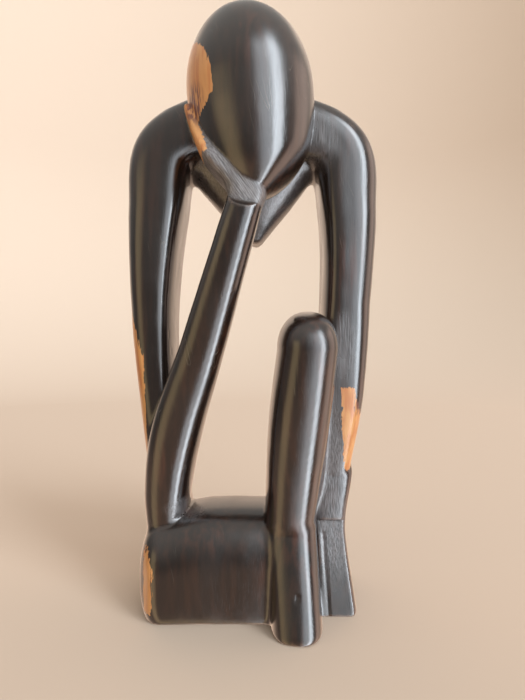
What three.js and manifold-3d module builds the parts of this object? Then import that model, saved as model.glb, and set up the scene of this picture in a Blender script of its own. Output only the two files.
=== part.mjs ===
// A seated thinker carved in dark hardwood: a hunched figure with one leg folded flat, one knee raised,
// its chin on one hand and its other arm hanging to the ground.
// Millimetres, +Z up. The figure faces -Y, so its own right side lies at -X.
import * as THREE from 'three';
import { mergeVertices } from 'three/addons/utils/BufferGeometryUtils.js';
import Module from 'manifold-3d';

const wasm = await Module();
wasm.setup();

// Whole figure
const SEAM = 0.3; // clearance between neighbouring members
const FIGURE_DEPTH = 66; // toe to the back of the seat
const UNDERCUT = 8; // rounded underside of what lies on the ground, trimmed away
const FACETS = 24; // sides of a rounded section
const RING_STEP = 7; // spacing of the sections along a limb
const DOME_SQUARENESS = 2.2; // rounding of the ends, between a half sphere (2) and a box

// Shoulders: one arch of rounded sections from the right elbow over both shoulders to the left wrist
const SHOULDER_TOP = 215; // upper side of the yoke at the middle
const YOKE_THICKNESS = 26;
const YOKE_HALF_REACH = 20; // place halfway to the shoulder
const YOKE_HALF_DROP = 2; // fall of the middle line there
const SHOULDER_THICKNESS = 27;
const SHOULDER_BEND_INSET = 15.8; // middle of the bend from the outer side of the arm
const SHOULDER_BEND_DROP = 25.5; // the same below the top
const RIGHT_SHOULDER_REACH = 52.6; // outer side from the middle
const LEFT_SHOULDER_REACH = 54;
const UPPER_ARM_DROP = 50; // level below the top where the arm hangs straight
const UPPER_ARM_WIDTH = 24;
const ARM_DEPTH = 34;
const BACK_INSET = 2; // back of the arms and shoulders before the back of the seat
const ARM_SQUARENESS = 2.9;

// Right upper arm, down to the elbow on the folded leg
const RIGHT_ARM_MID_HEIGHT = 120;
const RIGHT_ARM_MID_REACH = 51;
const RIGHT_ARM_MID_WIDTH = 17.8;
const RIGHT_ARM_LOW_HEIGHT = 75;
const RIGHT_ARM_LOW_REACH = 46.8;
const RIGHT_ARM_LOW_WIDTH = 15.2;
const RIGHT_ELBOW_REACH = 41.2;
const RIGHT_ELBOW_WIDTH = 15;
const RIGHT_ELBOW_DEPTH = 27;
const RIGHT_ELBOW_LEAN = 10; // back of the elbow before the back of the arm

// Left arm, down to the wrist
const LEFT_ARM_MID_HEIGHT = 125;
const LEFT_ARM_MID_REACH = 51.3;
const LEFT_ARM_MID_WIDTH = 20.7;
const LEFT_ELBOW_HEIGHT = 88;
const LEFT_ELBOW_REACH = 48.2;
const LEFT_ELBOW_WIDTH = 20.5;
const LEFT_WRIST_HEIGHT = 52;
const LEFT_WRIST_REACH = 42.3;
const LEFT_WRIST_WIDTH = 17.5;
const LEFT_WRIST_DEPTH = 27;

// Left hand, fingers flat on the ground
const KNUCKLE_HEIGHT = 34;
const KNUCKLE_REACH = 40.6;
const KNUCKLE_WIDTH = 14.5;
const KNUCKLE_DEPTH = 30;
const PALM_HEIGHT = 26; // level of its narrowest place
const PALM_REACH = 40.4;
const PALM_NARROW_WIDTH = 14;
const PALM_NARROW_DEPTH = 33.3;
const FINGER_REACH = 43.4;
const FINGER_WIDTH = 17;
const FINGER_DEPTH = 44;
const FINGER_FACET_DEPTH = 1.6; // taken off the back of the hand by its flat facet
const HAND_SQUARENESS = 4.2;

// Head: an egg standing on its chin
const HEAD_WIDTH = 50.8;
const HEAD_DEPTH = 50;
const BROW_DROP = 6.7; // level of the widest part below the top of the shoulders
const CROWN_RISE = 34.3; // from the brow up to the crown
const CHIN_DROP = 46.3; // from the brow down to the chin
const CHIN_FORWARD = 11; // chin drawn forwards from the middle of the brow
const HEAD_TILT = 5.7; // degrees, chin towards the figure's left
const HEAD_INSET = 2; // front of the head behind the toe
const JAW_SIDE = 6.2; // a point on the edge of the flat cheek under the jaw, towards the figure's left
const JAW_INSET = 12; // the same behind the toe
const JAW_RISE = 1; // the same above the chin
const JAW_FACING = [0.75, -0.23, -0.62]; // the way that cheek looks

// Chest: a bib that hangs from the shoulders and narrows to a free point
const CHEST_TOP_DROP = 12;
const CHEST_TOP_WIDTH = 78;
const CHEST_DEPTH = 26;
const CHEST_ARMPIT_DROP = 29;
const CHEST_ARMPIT_WIDTH = 62;
const CHEST_MID_DROP = 47;
const CHEST_MID_WIDTH = 33;
const CHEST_MID_DEPTH = 20;
const CHEST_POINT_DROP = 62.5;
const CHEST_POINT_WIDTH = 4;
const CHEST_POINT_DEPTH = 11;
const CHEST_POINT_SIDE = 2; // point off the middle, towards the figure's left
const CHEST_BACK_INSET = 4;

// Folded leg: lies across the front on the ground
const FOLDED_LEG_HEIGHT = 41.5;
const FOLDED_LEG_INSET = 12.5; // front of the leg behind the toe
const FOLDED_KNEE_HEIGHT = 38;
const FOLDED_KNEE_REACH = 45;
const FOLDED_KNEE_ROUND = 11; // length of the rounded knee end
const FOLDED_LEG_INNER_END = 11; // its end inside the raised leg, past the middle
const KNEE_FACET_REACH = 37.6; // front edge of the flat facet on the knee end
const KNEE_FACET_FACING = [-0.86, -0.51, 0];
const LEG_SQUARENESS = 3;

// Seat: the hips behind both legs
const SEAT_HEIGHT = 37;
const SEAT_DEPTH = 26;
const SEAT_SHOW = 7.5; // how far it stands out behind the folded leg
const SEAT_RIGHT_REACH = 37;
const SEAT_LEFT_REACH = 33;
const SEAT_ROUND = 9; // length of its rounded ends

// Raised leg: shin, foot and thigh
const KNEE_HEIGHT = 120;
const KNEE_ROUND = 15; // height of the knee's dome
const KNEE_SIDE = 22.5; // towards the figure's left
const KNEE_WIDTH = 23.7;
const KNEE_DEPTH = 40;
const KNEE_INSET = 2; // front of the knee behind the toe
const CALF_HEIGHT = 74;
const CALF_SIDE = 18.8;
const CALF_WIDTH = 23.4;
const CALF_DEPTH = 32;
const CALF_INSET = 5;
const ANKLE_HEIGHT = 37;
const ANKLE_SIDE = 15.7;
const ANKLE_WIDTH = 19.6;
const ANKLE_DEPTH = 25;
const ANKLE_INSET = 12;
const FOOT_SIDE = 17.8;
const INSTEP_WIDTH = 17.6;
const INSTEP_DEPTH = 24;
const TOE_WIDTH = 19.6;
const TOE_DEPTH = 35;
const TOE_HEIGHT = 3;
const FOOT_RIDGE_SIDE = 19.2; // line along the instep where its two sides meet
const FOOT_RIDGE_INSET = 0.8; // the same behind the toe
const FOOT_SIDE_TURNS = [-0.34, 0.3]; // sideways slope of the two sides
const THIGH_WIDTH = 21;
const THIGH_DEPTH = 26;
const THIGH_KNEE_INSET = 1.5; // back of the thigh inside the back of the knee
const LIMB_SQUARENESS = 2.6;

// Right forearm, from the elbow up to the wrist under the chin
const FOREARM_ELBOW_SIDE = 34.3; // towards the figure's right
const FOREARM_ELBOW_WIDTH = 14;
const FOREARM_ELBOW_DEPTH = 26;
const FOREARM_ELBOW_INSET = 24; // front of the elbow behind the toe
const FOREARM_BASE_HEIGHT = 47;
const FOREARM_BASE_SIDE = 33.8;
const FOREARM_BASE_WIDTH = 18.4;
const FOREARM_BASE_DEPTH = 25;
const FOREARM_BASE_INSET = 20;
const FOREARM_LOW_HEIGHT = 72;
const FOREARM_LOW_SIDE = 29.6;
const FOREARM_LOW_WIDTH = 20;
const FOREARM_LOW_DEPTH = 22;
const FOREARM_LOW_INSET = 16.5;
const FOREARM_MID_HEIGHT = 104;
const FOREARM_MID_SIDE = 19.1;
const FOREARM_MID_WIDTH = 17.4;
const FOREARM_MID_DEPTH = 17.5;
const FOREARM_MID_INSET = 12;
const FOREARM_HIGH_HEIGHT = 147;
const FOREARM_HIGH_SIDE = 5.7;
const FOREARM_HIGH_WIDTH = 14.4;
const FOREARM_HIGH_DEPTH = 16;
const FOREARM_HIGH_INSET = 5.5;
const WRIST_DROP = 2; // below the chin
const WRIST_SIDE = 1.7;
const WRIST_WIDTH = 13.4;
const WRIST_DEPTH = 15;
const WRIST_INSET = 4;

// Right hand, laid along the jaw from the wrist towards the ear
const HEEL_INSET = 1.5; // heel of the hand inside the wrist's outline
const HEEL_DROP = 2; // below the middle of the wrist's top
const PALM_RISE = 3.2; // above the chin
const PALM_SIDE = 1.4;
const PALM_WIDTH = 14.5;
const PALM_DEPTH = 15;
const PALM_INSET = 7;
const JAW_HAND_RISE = 14.5; // the hand where it leaves the chin for the cheek
const JAW_HAND_SIDE = 12.4;
const JAW_HAND_WIDTH = 9.4;
const JAW_HAND_DEPTH = 17;
const JAW_HAND_INSET = 8;
const CHEEK_HAND_RISE = 28.8;
const CHEEK_HAND_SIDE = 20.6;
const CHEEK_HAND_WIDTH = 5.2;
const CHEEK_HAND_DEPTH = 17;
const CHEEK_HAND_INSET = 14.5;
const FINGERTIP_RISE = 37;
const FINGERTIP_SIDE = 24;
const FINGERTIP_WIDTH = 3.6;
const FINGERTIP_INSET = 17.5;
const FINGERTIP_BITE = 2.5; // its back inside the front of the shoulders
const FINGERTIP_ROUND = 2.5;

// Sapwood: pale outer wood left on the members that reach the edge of the billet
const HEAD_SAPWOOD = 2.7; // thickness where it is deepest
const HAND_SAPWOOD = 3;
const RIGHT_ARM_SAPWOOD = 2;
const LEFT_ARM_SAPWOOD = 2.2;
const LEG_SAPWOOD = 2.4;

const EBONY = new THREE.MeshStandardMaterial({ color: 0x1f1714, roughness: 0.32, metalness: 0 });
const SAPWOOD = new THREE.MeshStandardMaterial({ color: 0xc48a45, roughness: 0.45, metalness: 0 });

const UP = new THREE.Vector3(0, 0, 1);
const ACROSS = new THREE.Vector3(-1, 0, 0);
const FRONT = -FIGURE_DEPTH / 2;
const BACK = FIGURE_DEPTH / 2;
const SHOULDER_FRONT = BACK - BACK_INSET - ARM_DEPTH;
const FOLDED_LEG_DEPTH = FIGURE_DEPTH - FOLDED_LEG_INSET - SEAT_SHOW;
const BROW_HEIGHT = SHOULDER_TOP - BROW_DROP;
const CHIN_HEIGHT = BROW_HEIGHT - CHIN_DROP;
const WRIST_HEIGHT = CHIN_HEIGHT - WRIST_DROP;
const ROOM = 1000; // edge of the blocks that stand for half a space

// A section of a limb: its middle, its width across the limb and its depth front to back.
const section = (x, y, z, width, depth) => ({ at: new THREE.Vector3(x, y, z), width, depth });

// The same, placed by its front or its back.
const behind = (front, x, z, width, depth) => section(x, front + depth / 2, z, width, depth);
const before = (back, x, z, width, depth) => section(x, back - depth / 2, z, width, depth);

// Point of a rounded outline between an ellipse (squareness 2) and a box.
function outline(angle, squareness) {
  const round = (v) => Math.sign(v) * Math.abs(v) ** (2 / squareness);
  return [round(Math.cos(angle)) / 2, round(Math.sin(angle)) / 2];
}

// Joins closed rings of points, each end shut by a fan to a middle point.
function skin(rings, start, end) {
  const count = rings[0].length;
  const points = [start, ...rings.flat(), end];
  const last = points.length - 1;
  const vertex = (ring, side) => 1 + ring * count + (side % count);
  const faces = [];
  for (let side = 0; side < count; side++) {
    faces.push(0, vertex(0, side + 1), vertex(0, side));
    faces.push(last, vertex(rings.length - 1, side), vertex(rings.length - 1, side + 1));
    for (let ring = 0; ring < rings.length - 1; ring++) {
      faces.push(vertex(ring, side), vertex(ring, side + 1), vertex(ring + 1, side + 1));
      faces.push(vertex(ring, side), vertex(ring + 1, side + 1), vertex(ring + 1, side));
    }
  }
  return new THREE.BufferGeometry().setFromPoints(points).setIndex(faces);
}

// A limb: sections blended along a smooth spine. It follows the spine, or stays square to a fixed
// normal. Part of it is cut out by from and to, and a dome of a given length can round its ends.
function limb(sections, { normal, squareness = 2, from = 0, to = 1, startDome = 0, endDome = 0, grow = 0 }) {
  const spine = new THREE.CatmullRomCurve3(sections.map((s) => s.at));
  const sizes = new THREE.CatmullRomCurve3(sections.map((s) => new THREE.Vector3(s.width, s.depth, 0)));
  const place = (t, along, shrink) => {
    const heading = normal ?? spine.getTangent(t);
    const front = new THREE.Vector3(0, 1, 0).projectOnPlane(heading).normalize();
    const side = front.clone().cross(heading);
    const size = sizes.getPoint(t);
    const middle = spine.getPoint(t).addScaledVector(heading, along);
    const ring = Array.from({ length: FACETS }, (_, i) => {
      const [u, v] = outline((2 * Math.PI * i) / FACETS, squareness);
      return middle
        .clone()
        .addScaledVector(side, u * (size.x + 2 * grow) * shrink)
        .addScaledVector(front, v * (size.y + 2 * grow) * shrink);
    });
    return { middle, ring };
  };
  const DOME_RINGS = 4;
  const domeAngles = Array.from({ length: DOME_RINGS }, (_, i) => (i * Math.PI) / 2 / DOME_RINGS);
  const dome = (t, length, turn) =>
    domeAngles.map((a) => {
      const [shrink, rise] = outline(a, DOME_SQUARENESS);
      return place(t, turn * (length + grow) * 2 * rise, 2 * shrink).ring;
    });
  const steps = Math.max(2, Math.round((spine.getLength() * (to - from)) / RING_STEP));
  const body = [];
  for (let i = 0; i <= steps; i++) {
    const t = from + ((to - from) * i) / steps;
    const stretch = grow * ((i === steps && !endDome) - (i === 0 && !startDome));
    body.push(place(t, stretch, 1).ring);
  }
  const first = startDome ? dome(from, startDome, -1).slice(1).reverse() : [];
  const last = endDome ? dome(to, endDome, 1).slice(1) : [];
  const start = place(from, -grow - startDome, 1).middle;
  const end = place(to, grow + endDome, 1).middle;
  return skin([...first, ...body, ...last], start, end);
}

// A closed geometry as a solid that can be cut.
function solid(geometry) {
  const bare = geometry.clone();
  bare.deleteAttribute('normal');
  bare.deleteAttribute('uv');
  const merged = mergeVertices(bare);
  const vertProperties = merged.attributes.position.array;
  const triVerts = new Uint32Array(merged.index.array);
  return new wasm.Manifold(new wasm.Mesh({ numProp: 3, vertProperties, triVerts }));
}

// All of space beyond a plane.
function halfSpace(direction, offset) {
  const block = new THREE.BoxGeometry(ROOM, ROOM, ROOM).translate(0, 0, ROOM / 2 + offset);
  const turn = new THREE.Quaternion().setFromUnitVectors(UP, direction.clone().normalize());
  return solid(block.applyQuaternion(turn));
}

function headBlank(grow) {
  const PROFILE_STEPS = 22;
  const profile = [];
  for (let i = 0; i <= PROFILE_STEPS; i++) {
    const angle = Math.PI * (i / PROFILE_STEPS - 0.5);
    const reach = angle < 0 ? CHIN_DROP : CROWN_RISE;
    const onAxis = i === 0 || i === PROFILE_STEPS;
    profile.push(new THREE.Vector2(onAxis ? 0 : Math.cos(angle), Math.sin(angle) * (reach + grow)));
  }
  const egg = new THREE.LatheGeometry(profile, FACETS + 4).rotateX(Math.PI / 2);
  egg.scale(HEAD_WIDTH / 2 + grow, HEAD_DEPTH / 2 + grow, 1);
  const { position } = egg.attributes;
  for (let i = 0; i < position.count; i++) {
    const fall = Math.min(position.getZ(i), 0) / CHIN_DROP;
    position.setY(i, position.getY(i) - CHIN_FORWARD * fall ** 2);
  }
  egg.rotateY(THREE.MathUtils.degToRad(-HEAD_TILT));
  return egg.translate(0, FRONT + HEAD_INSET + HEAD_DEPTH / 2, BROW_HEIGHT);
}

// The arch that holds both arms and the shoulders, listed from the right elbow to the left wrist.
function archSections() {
  const back = BACK - BACK_INSET;
  const yokeMiddle = SHOULDER_TOP - YOKE_THICKNESS / 2;
  const hang = (side, reach, height, width, depth, lean = 0) =>
    before(back - lean, side * (reach - width / 2), height, width, depth);
  const shoulder = (side, reach) => {
    const bend = side * (reach - SHOULDER_BEND_INSET);
    return [
      hang(side, reach, SHOULDER_TOP - UPPER_ARM_DROP, UPPER_ARM_WIDTH, ARM_DEPTH),
      before(back, bend, SHOULDER_TOP - SHOULDER_BEND_DROP, SHOULDER_THICKNESS, ARM_DEPTH),
      before(back, side * YOKE_HALF_REACH, yokeMiddle - YOKE_HALF_DROP, SHOULDER_THICKNESS, ARM_DEPTH),
    ];
  };
  const elbow = FOLDED_LEG_HEIGHT / 2;
  return [
    hang(-1, RIGHT_ELBOW_REACH, elbow, RIGHT_ELBOW_WIDTH, RIGHT_ELBOW_DEPTH, RIGHT_ELBOW_LEAN),
    hang(-1, RIGHT_ARM_LOW_REACH, RIGHT_ARM_LOW_HEIGHT, RIGHT_ARM_LOW_WIDTH, ARM_DEPTH),
    hang(-1, RIGHT_ARM_MID_REACH, RIGHT_ARM_MID_HEIGHT, RIGHT_ARM_MID_WIDTH, ARM_DEPTH),
    ...shoulder(-1, RIGHT_SHOULDER_REACH),
    before(back, 0, yokeMiddle, YOKE_THICKNESS, ARM_DEPTH),
    ...shoulder(1, LEFT_SHOULDER_REACH).reverse(),
    hang(1, LEFT_ARM_MID_REACH, LEFT_ARM_MID_HEIGHT, LEFT_ARM_MID_WIDTH, ARM_DEPTH),
    hang(1, LEFT_ELBOW_REACH, LEFT_ELBOW_HEIGHT, LEFT_ELBOW_WIDTH, ARM_DEPTH),
    hang(1, LEFT_WRIST_REACH, LEFT_WRIST_HEIGHT, LEFT_WRIST_WIDTH, LEFT_WRIST_DEPTH),
  ];
}

// A stretch of the arch between two of its sections, counted from the right elbow.
function archStretch(first, last) {
  const sections = archSections();
  const spans = sections.length - 1;
  const stretch = { squareness: ARM_SQUARENESS, from: first / spans, to: last / spans };
  return (grow) => limb(sections, { ...stretch, grow });
}

function leftHandBlank(grow) {
  const back = BACK - BACK_INSET;
  const level = (height, reach, width, depth) => before(back, reach - width / 2, height, width, depth);
  const sections = [
    level(0, FINGER_REACH, FINGER_WIDTH, FINGER_DEPTH),
    level(PALM_HEIGHT, PALM_REACH, PALM_NARROW_WIDTH, PALM_NARROW_DEPTH),
    level(KNUCKLE_HEIGHT, KNUCKLE_REACH, KNUCKLE_WIDTH, KNUCKLE_DEPTH),
    level(LEFT_WRIST_HEIGHT, LEFT_WRIST_REACH, LEFT_WRIST_WIDTH, LEFT_WRIST_DEPTH),
  ];
  return limb(sections, { normal: UP, squareness: HAND_SQUARENESS, grow });
}

// A section that lies on the ground, with its rounded underside below it.
const lying = (place, edge, x, top, depth) =>
  place(edge, x, (top - UNDERCUT) / 2, top + UNDERCUT, depth);

function foldedLegBlank(grow) {
  const front = FRONT + FOLDED_LEG_INSET;
  const kneeStart = FOLDED_KNEE_ROUND - FOLDED_KNEE_REACH;
  const sections = [
    lying(behind, front, FOLDED_LEG_INNER_END, FOLDED_LEG_HEIGHT, FOLDED_LEG_DEPTH),
    lying(behind, front, kneeStart / 2, FOLDED_LEG_HEIGHT, FOLDED_LEG_DEPTH),
    lying(behind, front, kneeStart, FOLDED_KNEE_HEIGHT, FOLDED_LEG_DEPTH),
  ];
  return limb(sections, { normal: ACROSS, squareness: LEG_SQUARENESS, endDome: FOLDED_KNEE_ROUND, grow });
}

function seatBlank(grow) {
  const sections = [
    lying(before, BACK, SEAT_LEFT_REACH - SEAT_ROUND, SEAT_HEIGHT, SEAT_DEPTH),
    lying(before, BACK, SEAT_ROUND - SEAT_RIGHT_REACH, SEAT_HEIGHT, SEAT_DEPTH),
  ];
  const round = { startDome: SEAT_ROUND, endDome: SEAT_ROUND };
  return limb(sections, { normal: ACROSS, squareness: LIMB_SQUARENESS, ...round, grow });
}

function chestBlank(grow) {
  const back = BACK - BACK_INSET - CHEST_BACK_INSET;
  const level = (drop, side, width, depth) => before(back, side, SHOULDER_TOP - drop, width, depth);
  const sections = [
    level(CHEST_POINT_DROP, CHEST_POINT_SIDE, CHEST_POINT_WIDTH, CHEST_POINT_DEPTH),
    level(CHEST_MID_DROP, CHEST_POINT_SIDE / 2, CHEST_MID_WIDTH, CHEST_MID_DEPTH),
    level(CHEST_ARMPIT_DROP, 0, CHEST_ARMPIT_WIDTH, CHEST_DEPTH),
    level(CHEST_TOP_DROP, 0, CHEST_TOP_WIDTH, CHEST_DEPTH),
  ];
  return limb(sections, { normal: UP, squareness: ARM_SQUARENESS, grow });
}

function shinBlank(grow) {
  const sections = [
    behind(FRONT + ANKLE_INSET, ANKLE_SIDE, ANKLE_HEIGHT, ANKLE_WIDTH, ANKLE_DEPTH),
    behind(FRONT + CALF_INSET, CALF_SIDE, CALF_HEIGHT, CALF_WIDTH, CALF_DEPTH),
    behind(FRONT + KNEE_INSET, KNEE_SIDE, KNEE_HEIGHT - KNEE_ROUND, KNEE_WIDTH, KNEE_DEPTH),
  ];
  return limb(sections, { normal: UP, squareness: LIMB_SQUARENESS, endDome: KNEE_ROUND, grow });
}

function footBlank(grow) {
  const sections = [
    behind(FRONT, FOOT_SIDE, 0, TOE_WIDTH, TOE_DEPTH),
    behind(FRONT, FOOT_SIDE, TOE_HEIGHT, TOE_WIDTH, TOE_DEPTH),
    behind(FRONT + ANKLE_INSET, FOOT_SIDE, ANKLE_HEIGHT, INSTEP_WIDTH, INSTEP_DEPTH),
  ];
  return limb(sections, { normal: UP, squareness: LIMB_SQUARENESS, grow });
}

// The thigh rises from the seat into the back of the knee.
function thighBlank(grow) {
  const kneeBack = FRONT + KNEE_INSET + KNEE_DEPTH - THIGH_KNEE_INSET;
  const sections = [
    before(BACK - BACK_INSET, CALF_SIDE, SEAT_HEIGHT / 2, THIGH_WIDTH, THIGH_DEPTH),
    before(kneeBack, KNEE_SIDE, KNEE_HEIGHT - KNEE_ROUND, THIGH_WIDTH, THIGH_DEPTH),
  ];
  return limb(sections, { normal: UP, squareness: LIMB_SQUARENESS, grow });
}

function forearmBlank(grow) {
  const level = (inset, side, height, width, depth) => behind(FRONT + inset, -side, height, width, depth);
  const elbow = FOLDED_LEG_HEIGHT / 2;
  const sections = [
    level(FOREARM_ELBOW_INSET, FOREARM_ELBOW_SIDE, elbow, FOREARM_ELBOW_WIDTH, FOREARM_ELBOW_DEPTH),
    level(FOREARM_BASE_INSET, FOREARM_BASE_SIDE, FOREARM_BASE_HEIGHT, FOREARM_BASE_WIDTH, FOREARM_BASE_DEPTH),
    level(FOREARM_LOW_INSET, FOREARM_LOW_SIDE, FOREARM_LOW_HEIGHT, FOREARM_LOW_WIDTH, FOREARM_LOW_DEPTH),
    level(FOREARM_MID_INSET, FOREARM_MID_SIDE, FOREARM_MID_HEIGHT, FOREARM_MID_WIDTH, FOREARM_MID_DEPTH),
    level(FOREARM_HIGH_INSET, FOREARM_HIGH_SIDE, FOREARM_HIGH_HEIGHT, FOREARM_HIGH_WIDTH, FOREARM_HIGH_DEPTH),
    level(WRIST_INSET, WRIST_SIDE, WRIST_HEIGHT, WRIST_WIDTH, WRIST_DEPTH),
  ];
  return limb(sections, { squareness: LIMB_SQUARENESS, grow });
}

// The hand leaves the wrist as a flat ribbon that follows the jaw up to the ear.
function rightHandSections() {
  const inside = (size) => size - 2 * HEEL_INSET;
  const tipDepth = SHOULDER_FRONT + FINGERTIP_BITE - (FRONT + FINGERTIP_INSET);
  const heelRise = -WRIST_DROP - HEEL_DROP;
  const heelInset = WRIST_INSET + HEEL_INSET;
  const level = (inset, side, rise, width, depth) =>
    behind(FRONT + inset, -side, CHIN_HEIGHT + rise, width, depth);
  return [
    level(heelInset, WRIST_SIDE, heelRise, inside(WRIST_WIDTH), inside(WRIST_DEPTH)),
    level(PALM_INSET, PALM_SIDE, PALM_RISE, PALM_WIDTH, PALM_DEPTH),
    level(JAW_HAND_INSET, JAW_HAND_SIDE, JAW_HAND_RISE, JAW_HAND_WIDTH, JAW_HAND_DEPTH),
    level(CHEEK_HAND_INSET, CHEEK_HAND_SIDE, CHEEK_HAND_RISE, CHEEK_HAND_WIDTH, CHEEK_HAND_DEPTH),
    level(FINGERTIP_INSET, FINGERTIP_SIDE, FINGERTIP_RISE, FINGERTIP_WIDTH, tipDepth),
  ];
}

function rightHandBlank(grow) {
  const round = { squareness: HAND_SQUARENESS, endDome: FINGERTIP_ROUND };
  return limb(rightHandSections(), { normal: UP, ...round, grow });
}

// Every member before it is fitted. Each one gives way to those listed above it.
const blanks = {
  right_hand: rightHandBlank,
  head: headBlank,
  folded_leg: foldedLegBlank,
  shoulder_yoke: archStretch(4, 8),
  right_upper_arm: archStretch(0, 4),
  left_upper_arm: archStretch(8, 11),
  left_forearm: archStretch(11, 12),
  left_hand: leftHandBlank,
  chest: chestBlank,
  right_forearm: forearmBlank,
  raised_shin: shinBlank,
  raised_foot: footBlank,
  raised_thigh: thighBlank,
  seat: seatBlank,
};

// Flat facets. What lies beyond all planes of a facet is cut away from its member.
const plane = (point, direction) => ({ point, direction: direction.normalize() });

function facetsOf(name) {
  const at = (...xyz) => new THREE.Vector3(...xyz);
  const fingerFront = BACK - BACK_INSET - FINGER_DEPTH;
  const instepSlope = ANKLE_INSET / (ANKLE_HEIGHT - TOE_HEIGHT);
  const jaw = at(JAW_SIDE, FRONT + JAW_INSET, CHIN_HEIGHT + JAW_RISE);
  const fingers = at(0, fingerFront + FINGER_FACET_DEPTH, 0);
  const knee = at(-KNEE_FACET_REACH, FRONT + FOLDED_LEG_INSET, 0);
  const ridge = at(FOOT_RIDGE_SIDE, FRONT + FOOT_RIDGE_INSET, TOE_HEIGHT);
  const facets = {
    head: [[plane(jaw, at(...JAW_FACING))]],
    left_hand: [[
      plane(fingers, at(0, -KNUCKLE_HEIGHT, FINGER_DEPTH - KNUCKLE_DEPTH)),
      plane(at(0, 0, KNUCKLE_HEIGHT), at(0, 0, -1)),
    ]],
    folded_leg: [[plane(knee, at(...KNEE_FACET_FACING))]],
    raised_foot: FOOT_SIDE_TURNS.map((turn) => [plane(ridge, at(turn, -1, instepSlope))]),
  };
  return facets[name] ?? [];
}

function memberSolid(name, grow) {
  return facetsOf(name).reduce((rest, planes) => {
    const beyond = planes.map(({ point, direction }) => halfSpace(direction, point.dot(direction) + grow));
    return rest.subtract(beyond.reduce((shared, half) => shared.intersect(half)));
  }, solid(blanks[name](grow)));
}

// Cuts each member back from those above it and from the ground.
function fitMembers() {
  const ground = halfSpace(UP.clone().negate(), 0);
  const fitted = {};
  const taken = [];
  for (const name of Object.keys(blanks)) {
    const whole = memberSolid(name, 0).subtract(ground);
    fitted[name] = taken.reduce((rest, neighbour) => rest.subtract(neighbour), whole);
    taken.push(memberSolid(name, SEAM));
  }
  return fitted;
}

// Outwards, but square to the front edge that runs from one section of a limb to the next.
function squareToEdge(outward, side, from, to) {
  const corner = (s) => new THREE.Vector3((side * s.width) / 2, -s.depth / 2, 0).add(s.at);
  return outward.projectOnPlane(corner(to).sub(corner(from)).normalize());
}

// Splits the pale outer wood off a member, by a plane square to the way it faces.
function peel(fitted, member, sapwood, facing, thickness) {
  const direction = facing.normalize();
  const whole = fitted[member];
  const { vertProperties, numProp } = whole.getMesh();
  let reach = -Infinity;
  for (let i = 0; i < vertProperties.length; i += numProp) {
    reach = Math.max(reach, direction.dot(new THREE.Vector3().fromArray(vertProperties, i)));
  }
  fitted[sapwood] = whole.intersect(halfSpace(direction, reach - thickness));
  fitted[member] = whole.subtract(halfSpace(direction, reach - thickness - SEAM));
}

function peelSapwood(fitted) {
  const arch = archSections();
  const [rightElbow, , rightMid] = arch;
  const [leftElbow, leftWrist] = arch.slice(-2);
  const facing = (x, y, z) => new THREE.Vector3(x, y, z);
  const rightArmFacing = squareToEdge(facing(-1, -0.2, 0), -1, rightElbow, rightMid);
  const leftArmFacing = squareToEdge(facing(0.7, -0.7, 0), 1, leftElbow, leftWrist);
  peel(fitted, 'head', 'head_sapwood', facing(-0.85, -0.53, 0), HEAD_SAPWOOD);
  peel(fitted, 'right_hand', 'right_hand_sapwood', facing(-0.95, -0.3, -0.1), HAND_SAPWOOD);
  peel(fitted, 'right_upper_arm', 'right_arm_sapwood', rightArmFacing, RIGHT_ARM_SAPWOOD);
  peel(fitted, 'left_forearm', 'left_arm_sapwood', leftArmFacing, LEFT_ARM_SAPWOOD);
  peel(fitted, 'folded_leg', 'folded_leg_sapwood', facing(-0.8, -0.6, 0), LEG_SAPWOOD);
}

function meshOf(name, body) {
  const { vertProperties, triVerts, numProp } = body.getMesh();
  const position = new THREE.InterleavedBufferAttribute(
    new THREE.InterleavedBuffer(vertProperties, numProp), 3, 0);
  const geometry = new THREE.BufferGeometry().setAttribute('position', position);
  geometry.setIndex(new THREE.BufferAttribute(triVerts, 1));
  const mesh = new THREE.Mesh(geometry, name.endsWith('sapwood') ? SAPWOOD : EBONY);
  mesh.name = name;
  return mesh;
}

const members = fitMembers();
peelSapwood(members);

// The figure stands on the ground with the middle of its outline over the origin.
const figure = new THREE.Group();
for (const [name, body] of Object.entries(members)) figure.add(meshOf(name, body));
const extent = new THREE.Box3().setFromObject(figure);
const middle = extent.getCenter(new THREE.Vector3());
figure.position.set(-middle.x, -middle.y, -extent.min.z);

export default figure;
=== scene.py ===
"""A seated thinker carved from one billet of dark hardwood, with pale sapwood left on its edges.

Shapes are worked out in millimetres, in the frame's axes: +Z is up, the figure faces -Y and its own
right side lies at -X. The limbs are rounded sections blended along smooth spines. They are joined
into one skin, which is then parted into the members that the frame names.
"""
import math
from collections import namedtuple

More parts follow.
